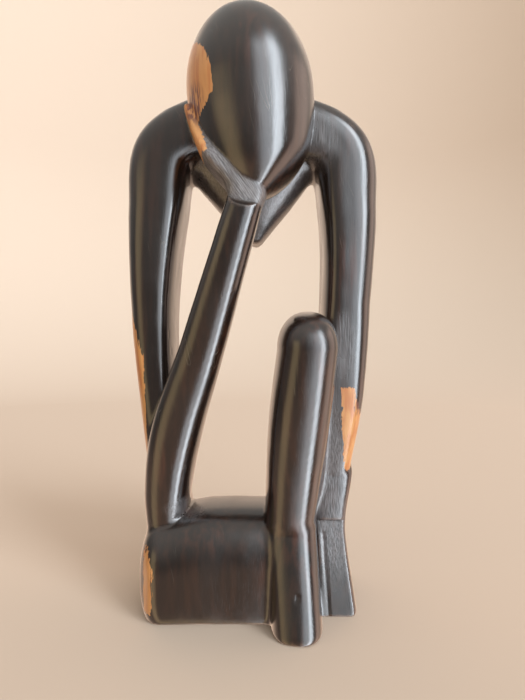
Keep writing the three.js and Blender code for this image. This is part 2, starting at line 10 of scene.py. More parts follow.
import bpy
import numpy as np
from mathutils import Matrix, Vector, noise

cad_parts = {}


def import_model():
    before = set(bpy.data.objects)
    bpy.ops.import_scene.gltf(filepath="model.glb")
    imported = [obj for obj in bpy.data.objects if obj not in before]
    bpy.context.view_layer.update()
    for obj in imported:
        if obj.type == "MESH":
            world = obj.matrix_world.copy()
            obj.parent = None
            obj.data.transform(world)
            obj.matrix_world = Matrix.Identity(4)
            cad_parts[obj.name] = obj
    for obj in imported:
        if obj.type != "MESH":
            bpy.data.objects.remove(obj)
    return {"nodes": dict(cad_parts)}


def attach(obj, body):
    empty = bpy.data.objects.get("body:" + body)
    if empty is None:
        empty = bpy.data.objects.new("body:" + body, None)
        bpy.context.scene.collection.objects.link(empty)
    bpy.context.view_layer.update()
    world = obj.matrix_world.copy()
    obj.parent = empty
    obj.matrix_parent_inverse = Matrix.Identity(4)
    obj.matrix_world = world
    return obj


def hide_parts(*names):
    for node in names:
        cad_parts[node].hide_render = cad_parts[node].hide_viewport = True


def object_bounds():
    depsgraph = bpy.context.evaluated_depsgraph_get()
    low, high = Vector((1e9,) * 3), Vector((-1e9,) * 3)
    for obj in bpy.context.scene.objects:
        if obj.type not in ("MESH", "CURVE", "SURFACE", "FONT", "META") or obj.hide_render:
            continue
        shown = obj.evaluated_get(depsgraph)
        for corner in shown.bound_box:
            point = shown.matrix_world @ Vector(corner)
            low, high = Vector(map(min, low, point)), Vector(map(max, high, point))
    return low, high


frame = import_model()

cad_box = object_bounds()

MM = 0.001
VOXEL = 0.6  # spacing of the grid that the skin is drawn from
BLOCK = 5  # grid points along the side of a block that is tested as one
BLOCK_REACH = 1.4  # how near the skin a block is looked into, in sides of the block
BLOCK_MARGIN = 0.5  # added to that
GRID_LOW = (-60.0, -40.0, 0.0)  # corners of the space that holds the figure
GRID_HIGH = (60.0, 40.0, 250.0)
GROUND_OFFSET = 0.37  # share of a step by which the grid misses the ground's level
LEAST_SLOPE = 0.2  # lowest squared slope that a step onto the skin is worked out with
FAR = 20.0  # distance given to points well outside a limb
SHORTEST_STEP = 1e-4  # below it, two points of a curve count as one

# Whole figure
FIGURE_DEPTH = 66.0
FRONT = -FIGURE_DEPTH / 2
BACK = FIGURE_DEPTH / 2
ARM_BACK = BACK - 2.0
SHOULDER_TOP = 215.0
ARM_DEPTH = 34.0
UNDERCUT = 8.0  # rounded underside of what lies on the ground, trimmed away
DOME_ROUND = 2.2  # rounding of the ends, between a half sphere (2) and a box
END_EDGE = 1.6  # rounding of the edge where a limb is cut off square

Station = namedtuple("Station", "side y height width depth")
Plane = namedtuple("Plane", "point direction")
# What lies beyond all its planes is cut away, to a rounded edge
Facet = namedtuple("Facet", "planes edge")


def behind(front, side, height, width, depth):
    """A section of a limb placed by its front."""
    return Station(side, front + depth / 2, height, width, depth)


def before(back, side, height, width, depth):
    """A section of a limb placed by its back."""
    return Station(side, back - depth / 2, height, width, depth)


def hang(way, reach, height, width, depth=ARM_DEPTH, lean=0.0):
    """A section of a hanging arm: its outer side lies at the given reach."""
    return before(ARM_BACK - lean, way * (reach - width / 2), height, width, depth)


def lying(place, edge, side, top, depth):
    """A section of what lies on the ground, with its rounded underside below it."""
    return place(edge, side, (top - UNDERCUT) / 2, top + UNDERCUT, depth)


def unit(vector):
    """The vector with a length of 1."""
    return np.asarray(vector, float) / np.linalg.norm(vector)


def join(one, other, crease):
    """The nearer of two distances, with a rounded crease where they meet."""
    overlap = np.maximum(crease - np.abs(one - other), 0) / crease
    return np.minimum(one, other) - overlap**2 * crease / 4


def trim(one, other, edge):
    """The farther of two distances, with a rounded edge where they meet."""
    return -join(-one, -other, edge)


def beyond_planes(p, planes):
    """How far each point lies beyond all of the planes."""
    return np.min([(p - plane.point) @ unit(plane.direction) for plane in planes], axis=0)


def trim_by_facets(distance, p, facets):
    """The distance with the facets cut off."""
    for planes, edge in facets:
        distance = trim(distance, beyond_planes(p, planes), edge)
    return distance


def smooth_curve(points, t):
    """Places on a smooth curve through the points, for parameters from 0 to 1."""
    points = np.asarray(points, float)
    spans = len(points) - 1
    first = np.minimum((t * spans).astype(int), spans - 1)
    w = (t * spans - first)[:, None]
    before_start = 2 * points[0] - points[1]
    after_end = 2 * points[-1] - points[-2]
    padded = np.vstack([before_start, points, after_end])
    p0, p1, p2, p3 = (padded[first + i] for i in range(4))
    steps = ((p0, p1), (p1, p2), (p2, p3))
    s0, s1, s2 = (np.linalg.norm(q - p, axis=1)[:, None] ** 0.5 for p, q in steps)
    s1 = np.where(s1 < SHORTEST_STEP, 1.0, s1)
    s0 = np.where(s0 < SHORTEST_STEP, s1, s0)
    s2 = np.where(s2 < SHORTEST_STEP, s1, s2)
    m1 = ((p1 - p0) / s0 - (p2 - p0) / (s0 + s1) + (p2 - p1) / s1) * s1
    m2 = ((p2 - p1) / s1 - (p3 - p1) / (s1 + s2) + (p3 - p2) / s2) * s1
    return p1 + m1 * w + (3 * (p2 - p1) - 2 * m1 - m2) * w**2 + (2 * (p1 - p2) + m1 + m2) * w**3


class Limb:
    """Rounded sections blended along a spine that rises, crosses the figure or bends in its plane.

    Its squareness goes from an ellipse (2) to a box, and can be higher by inner_edge on one side.
    """

    SAMPLES = 400  # along the spine
    STRIDE = 10  # samples passed over in the first search for the nearest

    def __init__(self, stations, squareness, inner_edge=0.0, along="height",
                 dome=0.0, domes=(), facets=()):
        t = np.linspace(0, 1, self.SAMPLES)
        middle = smooth_curve([(s.side, s.y, s.height) for s in stations], t)
        size = smooth_curve([(s.width, s.depth, 0.0) for s in stations], t)
        self.x, self.y, self.z = middle.T
        self.half_width, self.half_depth = size[:, 0] / 2, size[:, 1] / 2
        count = len(stations)
        squareness = np.broadcast_to(squareness, count)
        self.squareness = np.interp(t * (count - 1), np.arange(count), squareness)
        self.inner_edge = inner_edge
        self.along, self.dome, self.domes, self.facets = along, dome, domes, facets
        self.spans = count - 1
        reach = size.max() / 2 + dome + FAR / 2
        self.low, self.high = middle.min(0) - reach, middle.max(0) + reach

    def locate(self, p):
        """Sample number along the spine, offset across it, and how far beyond its start and end."""
        number = np.arange(self.SAMPLES)
        side, height = p[:, 0], p[:, 2]
        if self.along == "height":
            place = np.interp(height, self.z, number)
            across = side - np.interp(place, number, self.x)
            return place, across, self.z[0] - height, height - self.z[-1]
        if self.along == "side":
            place = np.interp(-side, -self.x, number)
            across = height - np.interp(place, number, self.z)
            return place, across, side - self.x[0], self.x[-1] - side
        return self.locate_on_bend(p)

    def locate_on_bend(self, p):
        """The same for a spine that turns, from the sample that lies nearest."""
        spine = np.stack([self.x, self.z], 1)
        step = np.gradient(spine, axis=0)
        length = np.linalg.norm(step, axis=1)
        flat = p[:, [0, 2]]

        def nearest(numbers):
            gap = ((flat[:, None, :] - spine[numbers]) ** 2).sum(2)
            candidates = np.broadcast_to(numbers, gap.shape)
            return np.take_along_axis(candidates, gap.argmin(1)[:, None], 1)[:, 0]

        coarse = nearest(np.arange(0, self.SAMPLES, self.STRIDE)[None, :])
        window = np.arange(-self.STRIDE, self.STRIDE + 1)
        near = nearest(np.clip(coarse[:, None] + window, 0, self.SAMPLES - 1))
        offset = flat - spine[near]
        heading = step[near] / length[near][:, None]
        ahead = (offset * heading).sum(1)
        across = offset[:, 0] * heading[:, 1] - offset[:, 1] * heading[:, 0]
        place = np.clip(near + ahead / length[near], 0, self.SAMPLES - 1)
        start = np.where(near == 0, -ahead, -FAR)
        end = np.where(near == self.SAMPLES - 1, ahead, -FAR)
        return place, across, start, end

    def distance(self, p):
        """Distance of each point from the limb, negative inside."""
        place, across, start, end = self.locate(p)
        number = np.arange(self.SAMPLES)
        half_width = np.interp(place, number, self.half_width)
        half_depth = np.interp(place, number, self.half_depth)
        n = np.interp(place, number, self.squareness) + np.where(across > 0, self.inner_edge, 0)
        a = np.abs(across) / half_width
        b = np.abs(p[:, 1] - np.interp(place, number, self.y)) / half_depth
        r = np.maximum(a**n + b**n, 1e-6) ** (1 / n)
        slope = (a ** (n - 1) / half_width) ** 2 + (b ** (n - 1) / half_depth) ** 2
        slope = slope * r ** (2 - 2 * n)
        m = DOME_ROUND
        beyond = np.zeros(len(p))
        cut = np.full(len(p), -FAR)
        for gap, end_name in ((start, "start"), (end, "end")):
            if end_name in self.domes:
                beyond = np.maximum(beyond, gap / self.dome)
            else:
                cut = np.maximum(cut, gap)
        if self.domes:
            q = (r**m + beyond**m) ** (1 / m)
            slope = slope * (r / q) ** (2 * m - 2) + ((beyond / q) ** (m - 1) / self.dome) ** 2
            r = q
        distance = trim((r - 1) / np.sqrt(np.maximum(slope, 1e-8)), cut, END_EDGE)
        return trim_by_facets(distance, p, self.facets)


ARM_SQUARENESS = 2.7
LOW_ARM_SQUARENESS = 3.5
FLAT_ARM_SQUARENESS = 4.2
LIMB_SQUARENESS = 2.6
YOKE_MIDDLE = SHOULDER_TOP - 13.0
SHOULDER_BEND = SHOULDER_TOP - 25.5
UPPER_ARM = SHOULDER_TOP - 50.0
FOLDED_LEG_HEIGHT = 42.2
WRIST_LEVEL = 52.0

# One arch from the right elbow over both shoulders to the left wrist
ARCH = Limb([
    hang(-1, reach=38.6, height=FOLDED_LEG_HEIGHT / 2, width=15, depth=27, lean=10),
    hang(-1, reach=46.2, height=75, width=15.2),
    hang(-1, reach=51, height=120, width=17.8),
    hang(-1, reach=52.6, height=UPPER_ARM, width=24),
    before(ARM_BACK, side=-36.8, height=SHOULDER_BEND, width=27, depth=ARM_DEPTH),
    before(ARM_BACK, side=-20, height=YOKE_MIDDLE - 2, width=27, depth=ARM_DEPTH),
    before(ARM_BACK, side=0, height=YOKE_MIDDLE, width=26, depth=ARM_DEPTH),
    before(ARM_BACK, side=20, height=YOKE_MIDDLE - 2, width=27, depth=ARM_DEPTH),
    before(ARM_BACK, side=38.2, height=SHOULDER_BEND, width=27, depth=ARM_DEPTH),
    hang(1, reach=54, height=UPPER_ARM, width=24),
    hang(1, reach=51.3, height=125, width=20.7),
    hang(1, reach=48.2, height=88, width=20.5),
    hang(1, reach=42.3, height=WRIST_LEVEL, width=17.5, depth=27),
], [ARM_SQUARENESS] * 11 + [LOW_ARM_SQUARENESS, FLAT_ARM_SQUARENESS], inner_edge=1.6, along="bend")

KNUCKLE_LEVEL = 34.0
FINGER_FRONT = ARM_BACK - 44.0
KNUCKLE_FRONT = ARM_BACK - 30.0
FILED_DEPTH = 1.6  # taken off the back of the hand by its flat facet
FINGER_FACET = Facet([
    Plane((0, FINGER_FRONT + FILED_DEPTH, 0), (0.12, -KNUCKLE_LEVEL, KNUCKLE_FRONT - FINGER_FRONT)),
    Plane((0, 0, KNUCKLE_LEVEL), (0, 0, -1)),
], edge=0.5)
LEFT_HAND = Limb([
    hang(1, reach=43.4, height=0, width=17, depth=44),
    hang(1, reach=40.4, height=26, width=14, depth=33.3),
    hang(1, reach=40.6, height=KNUCKLE_LEVEL, width=14.5, depth=30),
    hang(1, reach=43.9, height=WRIST_LEVEL, width=18.6, depth=27),
    hang(1, reach=42.5, height=WRIST_LEVEL + 7, width=14, depth=24),
], FLAT_ARM_SQUARENESS, facets=[FINGER_FACET])

CHEST_BACK = ARM_BACK - 4.0
CHEST = Limb([
    before(CHEST_BACK, side=2, height=SHOULDER_TOP - 62.5, width=4, depth=11),
    before(CHEST_BACK, side=1, height=SHOULDER_TOP - 47, width=33, depth=20),
    before(CHEST_BACK, side=0, height=SHOULDER_TOP - 29, width=62, depth=26),
    before(CHEST_BACK, side=0, height=SHOULDER_TOP - 12, width=78, depth=26),
], ARM_SQUARENESS)

KNEE_ROUND = 11.0
LEG_SETBACK = 12.5  # behind the toe
LEG_BACK_GAP = 7.5  # before the back of the seat
LEG_FRONT = FRONT + LEG_SETBACK
LEG_DEPTH = FIGURE_DEPTH - LEG_SETBACK - LEG_BACK_GAP
KNEE_TURN = (-0.86, -0.51, 0)  # way that the flat end of the knee faces
KNEE_FACET = Facet([Plane((-37.6, LEG_FRONT, 0), KNEE_TURN)], edge=0.5)
FOLDED_LEG = Limb([
    lying(behind, LEG_FRONT, side=11, top=FOLDED_LEG_HEIGHT, depth=LEG_DEPTH),
    lying(behind, LEG_FRONT, side=-17, top=FOLDED_LEG_HEIGHT, depth=LEG_DEPTH),
    lying(behind, LEG_FRONT, side=-34, top=38, depth=LEG_DEPTH),
], LIMB_SQUARENESS, along="side", dome=KNEE_ROUND, domes=("end",), facets=[KNEE_FACET])

SEAT_ROUND = 9.0
SEAT = Limb([
    lying(before, BACK, side=24, top=37, depth=26),
    lying(before, BACK, side=-28, top=37, depth=26),
], LIMB_SQUARENESS, along="side", dome=SEAT_ROUND, domes=("start", "end"))

ANKLE = 37.0
SHIN = Limb([
    behind(FRONT + 12, side=15.7, height=ANKLE, width=19.6, depth=25),
    behind(FRONT + 5, side=18.8, height=74, width=23.4, depth=32),
    behind(FRONT + 2, side=22.5, height=105, width=23.7, depth=40),
], LIMB_SQUARENESS, dome=15.0, domes=("end",))

FOOT_RIDGE = (19.2, FRONT, 3.0)  # on the line where the two sides of the instep meet
INSTEP_RISE = 0.33  # how far the instep leans back, per height
INSTEP_TURNS = (-0.26, 0.24)  # how far its two sides turn outwards
FOOT_FACETS = [Facet([Plane(FOOT_RIDGE, (turn, -1, INSTEP_RISE))], edge=1.5) for turn in INSTEP_TURNS]
FOOT = Limb([
    behind(FRONT, side=17.8, height=0, width=19.6, depth=35),
    behind(FRONT, side=17.8, height=3, width=19.6, depth=35),
    behind(FRONT + 12, side=16.4, height=ANKLE, width=19.2, depth=24),
], LIMB_SQUARENESS, facets=FOOT_FACETS)

THIGH = Limb([
    before(ARM_BACK, side=18.8, height=18.5, width=21, depth=26),
    before(FRONT + 40.5, side=22.5, height=105, width=21, depth=26),
], LIMB_SQUARENESS)

CHIN = SHOULDER_TOP - 53.0
WRIST_BEVEL = Facet([Plane((0, FRONT + 4, CHIN - 5.5), (0.1, -0.76, 0.65))], edge=0.4)
FOREARM = Limb([
    behind(FRONT + 24, side=-34.3, height=FOLDED_LEG_HEIGHT / 2, width=14, depth=26),
    behind(FRONT + 20, side=-33.8, height=47, width=18.4, depth=25),
    behind(FRONT + 16.5, side=-29.6, height=72, width=20, depth=22),
    behind(FRONT + 12, side=-19.1, height=104, width=17.4, depth=17.5),
    behind(FRONT + 5.5, side=-5.7, height=147, width=14.4, depth=16),
    behind(FRONT + 4, side=-1.7, height=CHIN - 2, width=13.4, depth=15),
], LIMB_SQUARENESS, along="bend", facets=[WRIST_BEVEL])

# The hand leaves the wrist as a flat ribbon that follows the jaw up to the ear
RIGHT_HAND = Limb([
    behind(FRONT + 5.5, side=-2.5, height=CHIN - 8, width=10.5, depth=12),
    behind(FRONT + 7, side=-1.4, height=CHIN + 3.2, width=14.5, depth=15),
    behind(FRONT + 8, side=-12.4, height=CHIN + 14.5, width=9.4, depth=17),
    behind(FRONT + 14.5, side=-20.6, height=CHIN + 28.8, width=5.2, depth=17),
    behind(FRONT + 17.5, side=-24, height=CHIN + 37, width=3.6, depth=15),
], FLAT_ARM_SQUARENESS, dome=2.5, domes=("end",))

HAND_SLANT = math.radians(33.6)  # lean of the ribbon towards the ear


class Head:
    """An egg standing on its chin, tilted towards the figure's left, with the chin drawn forwards."""

    HALF_WIDTH, HALF_DEPTH = 25.4, 25.0
    CROWN_RISE, CHIN_DROP = 34.3, 46.3
    CHIN_FORWARD = 11.0
    TILT = math.radians(5.7)
    REACH = 60  # beyond which a point counts as far from the head
    MIDDLE = np.array([0.0, FRONT + 2 + HALF_DEPTH, SHOULDER_TOP - 6.7])
    JAW = Facet([Plane((6.2, FRONT + 12, CHIN + 1), (0.75, -0.23, -0.62))], edge=4.0)
    low = MIDDLE - REACH
    high = MIDDLE + REACH

    def distance(self, p):
        """Distance of each point from the head, negative inside."""
        x, y, z = (p - self.MIDDLE).T
        across = x * math.cos(self.TILT) + z * math.sin(self.TILT)
        up = z * math.cos(self.TILT) - x * math.sin(self.TILT)
        half_height = np.where(up > 0, self.CROWN_RISE, self.CHIN_DROP)
        fall = np.minimum(up, 0) / self.CHIN_DROP
        a = across / self.HALF_WIDTH
        b = (y + self.CHIN_FORWARD * fall**2) / self.HALF_DEPTH
        c = up / half_height
        r = np.maximum(np.sqrt(a**2 + b**2 + c**2), 1e-3)
        shear = 2 * self.CHIN_FORWARD * fall / self.CHIN_DROP
        upward = c / half_height + b / self.HALF_DEPTH * shear
        slope = np.sqrt((a / self.HALF_WIDTH) ** 2 + (b / self.HALF_DEPTH) ** 2 + upward**2) / r
        return trim_by_facets((r - 1) / slope, p, [self.JAW])


# Every member with the width of the crease that it makes with those before it
MEMBERS = (
    ("arch", ARCH, 0.0),
    ("right_forearm", FOREARM, 2.5),
    ("chest", CHEST, 5.0),
    ("left_hand", LEFT_HAND, 0.8),
    ("folded_leg", FOLDED_LEG, 1.5),
    ("seat", SEAT, 2.0),
    ("raised_thigh", THIGH, 2.0),
    ("raised_shin", SHIN, 1.2),
    ("raised_foot", FOOT, 2.5),
    ("head", Head(), 0.8),
    ("right_hand", RIGHT_HAND, 0.8),
)


def member_distances(p):
    """Distance of each point from each member, a row for each member."""
    rows = np.full((len(MEMBERS), len(p)), FAR)
    for row, (_, member, _) in zip(rows, MEMBERS):
        near = ((p > member.low) & (p < member.high)).all(1)
        if near.any():
            row[near] = member.distance(p[near])
    return rows


def skin_distance(p):
    """Distance of each point from the whole carving."""
    rows = member_distances(p)
    whole = rows[0]
    for row, (_, _, crease) in zip(rows[1:], MEMBERS[1:]):
        whole = join(whole, row, crease)
    return np.maximum(whole, -p[:, 2])


def in_parts(function, p, size=200_000):
    """Runs a function over many points, some at a time."""
    return np.concatenate([function(p[i:i + size]) for i in range(0, len(p), size)], axis=-1)


def sample_grid():
    """Values of the skin's distance on a grid round the figure, exact near the skin only."""
    margin = 2 * BLOCK * VOXEL
    low = np.array(GRID_LOW) - margin
    high = np.array(GRID_HIGH) + margin
    blocks = np.ceil((high - low) / (BLOCK * VOXEL)).astype(int)
    low[2] = -(BLOCK - GROUND_OFFSET) * VOXEL
    side = BLOCK * VOXEL
    index = np.argwhere(np.ones(blocks, bool))
    centre = low + (index + 0.5) * side
    value = in_parts(skin_distance, centre)
    values = value.reshape(blocks)
    for axis in range(3):
        values = np.repeat(values, BLOCK, axis)
    close = index[np.abs(value) < BLOCK_REACH * side + BLOCK_MARGIN]
    inner = np.argwhere(np.ones([BLOCK] * 3, bool))
    fine = (close[:, None, :] * BLOCK + inner).reshape(-1, 3)
    origin = low + VOXEL / 2
    values[tuple(fine.T)] = in_parts(skin_distance, origin + fine * VOXEL)
    return values, origin


def draw_skin(values, origin):
    """Vertices and four-sided faces of the surface where the values change sign."""
    inside = values < 0
    corners = [(i, j, k) for i in (0, 1) for j in (0, 1) for k in (0, 1)]
    cells = tuple(n - 1 for n in values.shape)

    def at_corner(grid, corner):
        return grid[tuple(slice(c, c + n) for c, n in zip(corner, cells))]

    count = sum(at_corner(inside, c).astype(np.int8) for c in corners)
    active = np.argwhere((count > 0) & (count < 8))
    number = np.full(cells, -1)
    number[tuple(active.T)] = np.arange(len(active))
    corner_values = np.stack([values[tuple((active + c).T)] for c in corners], 1)
    total = np.zeros((len(active), 3))
    crossings = np.zeros(len(active))
    for one, first in enumerate(corners):
        for other, second in enumerate(corners):
            if other > one and sum(abs(a - b) for a, b in zip(first, second)) == 1:
                v1, v2 = corner_values[:, one], corner_values[:, other]
                crossed = (v1 < 0) != (v2 < 0)
                share = np.where(crossed, v1 / np.where(crossed, v1 - v2, 1), 0)
                point = np.array(first) + share[:, None] * (np.array(second) - np.array(first))
                total += point * crossed[:, None]
                crossings += crossed
    vertices = origin + (active + total / crossings[:, None]) * VOXEL
    faces = []
    for axis in range(3):
        ahead = np.zeros(3, int)
        ahead[axis] = 1
        left, right = np.zeros(3, int), np.zeros(3, int)
        left[(axis + 1) % 3], right[(axis + 2) % 3] = 1, 1
        span = tuple(slice(0, n - s) for n, s in zip(values.shape, ahead))
        shifted = tuple(slice(s, None) for s in ahead)
        edges = np.argwhere(inside[span] != inside[shifted])
        edges = edges[(edges[:, (axis + 1) % 3] > 0) & (edges[:, (axis + 2) % 3] > 0)]
        around = (0 * left, left, left + right, right)
        quad = np.stack([number[tuple((edges - way).T)] for way in around], 1)
        outward = inside[tuple(edges.T)]
        faces.append(np.where(outward[:, None], quad, quad[:, ::-1]))
    return vertices, np.concatenate(faces)


def slope_of(function, p, step=0.05):
    """Gradient of a distance at each point."""
    slope = np.zeros_like(p)
    for axis in range(3):
        shift = np.zeros(3)
        shift[axis] = step
        rise = in_parts(function, p + shift) - in_parts(function, p - shift)
        slope[:, axis] = rise / (2 * step)
    return slope


def settle(vertices, rounds=2):
    """Moves the vertices onto the exact skin."""
    for _ in range(rounds):
        slope = slope_of(skin_distance, vertices)
        size = np.maximum((slope**2).sum(1), LEAST_SLOPE)
        step = in_parts(skin_distance, vertices) / size
        vertices = vertices - np.clip(step, -VOXEL, VOXEL)[:, None] * slope
    return vertices


def edges_of(faces):
    """Each edge of the faces once."""
    pairs = np.concatenate([np.stack([faces[:, i], faces[:, (i + 1) % 4]], 1) for i in range(4)])
    return np.unique(np.sort(pairs, 1), axis=0)


def neighbour_mean(data, edges):
    """Mean of the values at the ends of each vertex's edges."""
    total = np.zeros_like(data)
    count = np.bincount(edges.ravel(), minlength=len(data))
    for one, other in ((0, 1), (1, 0)):
        for column in range(data.shape[1]):
            total[:, column] += np.bincount(edges[:, one], data[edges[:, other], column], len(data))
    return total / count[:, None]


def face_normals(vertices, faces):
    """Normals of the faces, as long as the faces are large."""
    a, b, c, d = (vertices[faces[:, i]] for i in range(4))
    return np.cross(c - a, d - b) / 2


def vertex_normals(vertices, faces):
    """Unit normals at the vertices."""
    each = face_normals(vertices, faces)
    normals = np.zeros_like(vertices)
    for corner in range(4):
        for axis in range(3):
            normals[:, axis] += np.bincount(faces[:, corner], each[:, axis], len(vertices))
    return normals / np.maximum(np.linalg.norm(normals, axis=1), 1e-9)[:, None]


def carve():
    """Vertices, faces and edges of the whole figure's skin."""
    vertices, faces = draw_skin(*sample_grid())
    edges = edges_of(faces)
    vertices = settle(vertices)
    vertices = settle((vertices + neighbour_mean(vertices, edges)) / 2, rounds=1)
    vertices[:, 2] = np.maximum(vertices[:, 2], 0)
    return vertices, faces, edges


def noise_at(p, size, stretch=1.0):
    """Soft noise from -1 to 1 whose blotches have a size, longer upwards by the stretch."""
    scaled = p / (size * np.array([1, 1, stretch]))
    return np.array([noise.noise(point) for point in scaled])


# Nodes along the arch, each up to the number of a section counted from the right elbow
ARCH_NODES = (
    ("right_upper_arm", 4),
    ("shoulder_yoke", 8),
    ("left_upper_arm", 11),
    ("left_forearm", 12),
)
Sapwood = namedtuple("Sapwood", "node hosts raggedness bounds")

# Pale outer wood, left on the members that reach the edge of the billet. Each patch lies on the near
# side of all its bounds: planes through a point, with the direction that leads into the patch.
SAPWOODS = (
    Sapwood("head_sapwood", ("head",), 1.0, (
        Plane((-16.2, 0, 215.9), (-0.83, 0, -0.56)),
        Plane((-13.8, 0, 204.9), (-0.98, 0, -0.17)),
        Plane((-15.1, 0, 196.7), (-0.8, 0, 0.6)),
        Plane((0, -5, 206), (0, -0.9, -0.45)),
    )),
    Sapwood("right_hand_sapwood", ("right_hand",), 0.3, (
        Plane((-16.6, 0, 183.5), (-0.96, 0, -0.29)),
        Plane((-16.5, 0, 178.5), (-0.45, 0, 0.89)),
    )),
    Sapwood("right_arm_sapwood", ("right_upper_arm", "right_forearm"), 0.5, (
        Plane((-44.9, 0, 105), (-0.96, 0, -0.27)),
        Plane((-43.6, 0, 92.7), (-1, 0, -0.05)),
        Plane((-41.9, 0, 69), (-1, 0, 0.06)),
        Plane((0, 11, 0), (0, -1, 0)),
    )),
    Sapwood("left_arm_sapwood", ("left_forearm", "left_upper_arm"), 1.1, (
        Plane((38.2, 0, 72), (1, 0, 0.07)),
        Plane((39.9, 0, 55), (0.88, 0, 0.47)),
        Plane((42.8, 0, 88), (-0.95, 0, -0.3)),
        Plane((0, 0, 89.5), (0, 0, -1)),
        Plane((0, 10, 0), (0, -1, 0)),
    )),
    Sapwood("folded_leg_sapwood", ("folded_leg",), 0.12, (
        Plane((-36.4, LEG_FRONT, 0), KNEE_TURN),
        Plane((-41.2, 0, 0), (1, 0, 0)),
        Plane((0, 0, 4), (0, 0, 1)),
        Plane((0, 0, 37), (0, 0, -1)),
    )),
)
NODES = sorted(frame["nodes"])


def nodes_at(p):
    """Name of the node that each point on the skin belongs to, before the sapwood is told apart."""
    names = np.array([name for name, _, _ in MEMBERS], dtype=object)
    found = names[in_parts(member_distances, p).argmin(0)]
    on_arch = np.flatnonzero(found == "arch")
    sample = in_parts(lambda part: ARCH.locate(part)[0], p[on_arch])
    section = sample / (ARCH.SAMPLES - 1) * ARCH.spans
    arch_names = np.array([name for name, _ in ARCH_NODES], dtype=object)
    found[on_arch] = arch_names[np.searchsorted([last for _, last in ARCH_NODES[:-1]], section)]
    return found


# Teeth along the border of the pale wood: their height, their width and how much longer they are upwards
TEETH = ((0.6, 2.4, 4), (0.5, 6, 3))


def sapwood_depth(p, nodes):
    """How far each point lies inside the pale outer wood, negative in the dark wood."""
    depth = np.full(len(p), -FAR)
    ragged = sum(height * noise_at(p, width, stretch) for height, width, stretch in TEETH)
    for wood in SAPWOODS:
        host = np.isin(nodes, wood.hosts)
        inside = beyond_planes(p[host], wood.bounds)
        depth[host] = np.maximum(depth[host], inside + wood.raggedness * ragged[host])
    return depth


# Streaks of darker wood in the sapwood, partly real grain and partly painted shade where the left arm's
# outer edge turns away from the light: their middle, their reach each way and their strength
STAINS_AND_SHADE = (
    ((-21, -19, 198), (6, 9, 9), 1.0),  # lower part of the cheek
    # Painted shade: this dark streak also darkens the side that turns away from the light, over its real
    # grain.
    ((44, -1, 84), (2.5, 6, 7), 1.0),  # outer edge of the left arm
)
SPOT_EDGE = 0.5  # share of a spot's reach over which it fades


def near_spots(p, spots):
    """The strength of the spot that each point lies in, falling to 0 at its edges."""
    share = np.zeros(len(p))
    for middle, reach, strength in spots:
        gap = np.linalg.norm((p - middle) / np.array(reach), axis=1)
        share = np.maximum(share, strength * np.clip((1 - gap) / SPOT_EDGE, 0, 1))
    return share


def faces_across(faces):
    """For each side of each face, the face beyond it."""
    count = faces.max() + 1
    starts, ends = faces.ravel(), np.roll(faces, -1, axis=1).ravel()
    order = np.argsort(starts * count + ends)
    found = np.searchsorted(starts * count + ends, ends * count + starts, sorter=order)
    return (order[found] // 4).reshape(faces.shape)


def regions_of(labels, across):
    """A number for each face, the same on all faces of one region."""
    region = np.arange(len(labels))
    alike = labels[across] == labels[:, None]
    while True:
        lowest = np.where(alike, region[across], region[:, None]).min(1)
        lowest = np.minimum(lowest, region)
        lowest = lowest[lowest]
        if (lowest == region).all():
            return region
        region = lowest


def drop_islands(labels, across):
    """Gives every region of a label but its largest to the labels beside it."""
    region = regions_of(labels, across)
    numbers, first, sizes = np.unique(region, return_index=True, return_counts=True)
    kept = {}
    for number, face, size in sorted(zip(numbers, first, sizes), key=lambda row: row[2]):
        kept[labels[face]] = number
    labels = np.where(np.isin(region, list(kept.values())), labels, -1)
    while (labels < 0).any():
        labels = np.where(labels < 0, labels[across].max(1), labels)
    return labels


def pinched_vertices(labels, faces, across):
    """Vertices at which the border of a label touches itself."""
    border = labels[across] != labels[:, None]
    owner = np.broadcast_to(labels[:, None], faces.shape)[border]
    meeting, number = np.unique(np.stack([faces[border], owner], 1), axis=0, return_counts=True)
    return np.unique(meeting[number > 1, 0])


SMOOTHING_ROUNDS = 12
REPAIR_ROUNDS = 40
MOST_SIDES = 3  # of the four sides of a face


def tidy_labels(labels, faces, across):
    """Smooths the borders of the labels and leaves each label one region with a simple border."""
    for _ in range(SMOOTHING_ROUNDS):
        around = labels[across]
        alike = (around[:, :, None] == around[:, None, :]).sum(2)
        most = np.take_along_axis(around, alike.argmax(1)[:, None], 1)[:, 0]
        labels = np.where(alike.max(1) >= MOST_SIDES, most, labels)
    labels = drop_islands(labels, across)
    for _ in range(REPAIR_ROUNDS):
        pinched = pinched_vertices(labels, faces, across)
        for vertex in pinched:
            ring = (faces == vertex).any(1)
            values, counts = np.unique(labels[ring], return_counts=True)
            labels[ring] = values[counts.argmax()]
        if not len(pinched):
            break
        labels = drop_islands(labels, across)
    return labels


def border_groups(faces):
    """Sides along the borders of some faces, in groups that hang together."""
    starts, ends = faces.ravel(), np.roll(faces, -1, axis=1).ravel()
    sides = set(zip(starts.tolist(), ends.tolist()))
    border = np.array(sorted(side for side in sides if side[::-1] not in sides))
    group = np.arange(faces.max() + 1)
    while True:
        lowest = np.minimum(group[border[:, 0]], group[border[:, 1]])
        joined = group.copy()
        np.minimum.at(joined, border[:, 0], lowest)
        np.minimum.at(joined, border[:, 1], lowest)
        if (joined == group).all():
            break
        group = joined
    numbers = group[border[:, 0]]
    return [border[numbers == number] for number in np.unique(numbers)]


CAP_DEPTH = 1.5  # how far the hidden end of a solid piece lies below its border
CAP_SHARES = (0.1, 0.2, 0.35, 0.5, 0.7, 1.0)  # of the way from the border to that end
CAP_CLEARANCE = 0.25  # how far below the skin the way has to stay
SHELL = 0.8  # thickness of a piece that is closed by a second skin


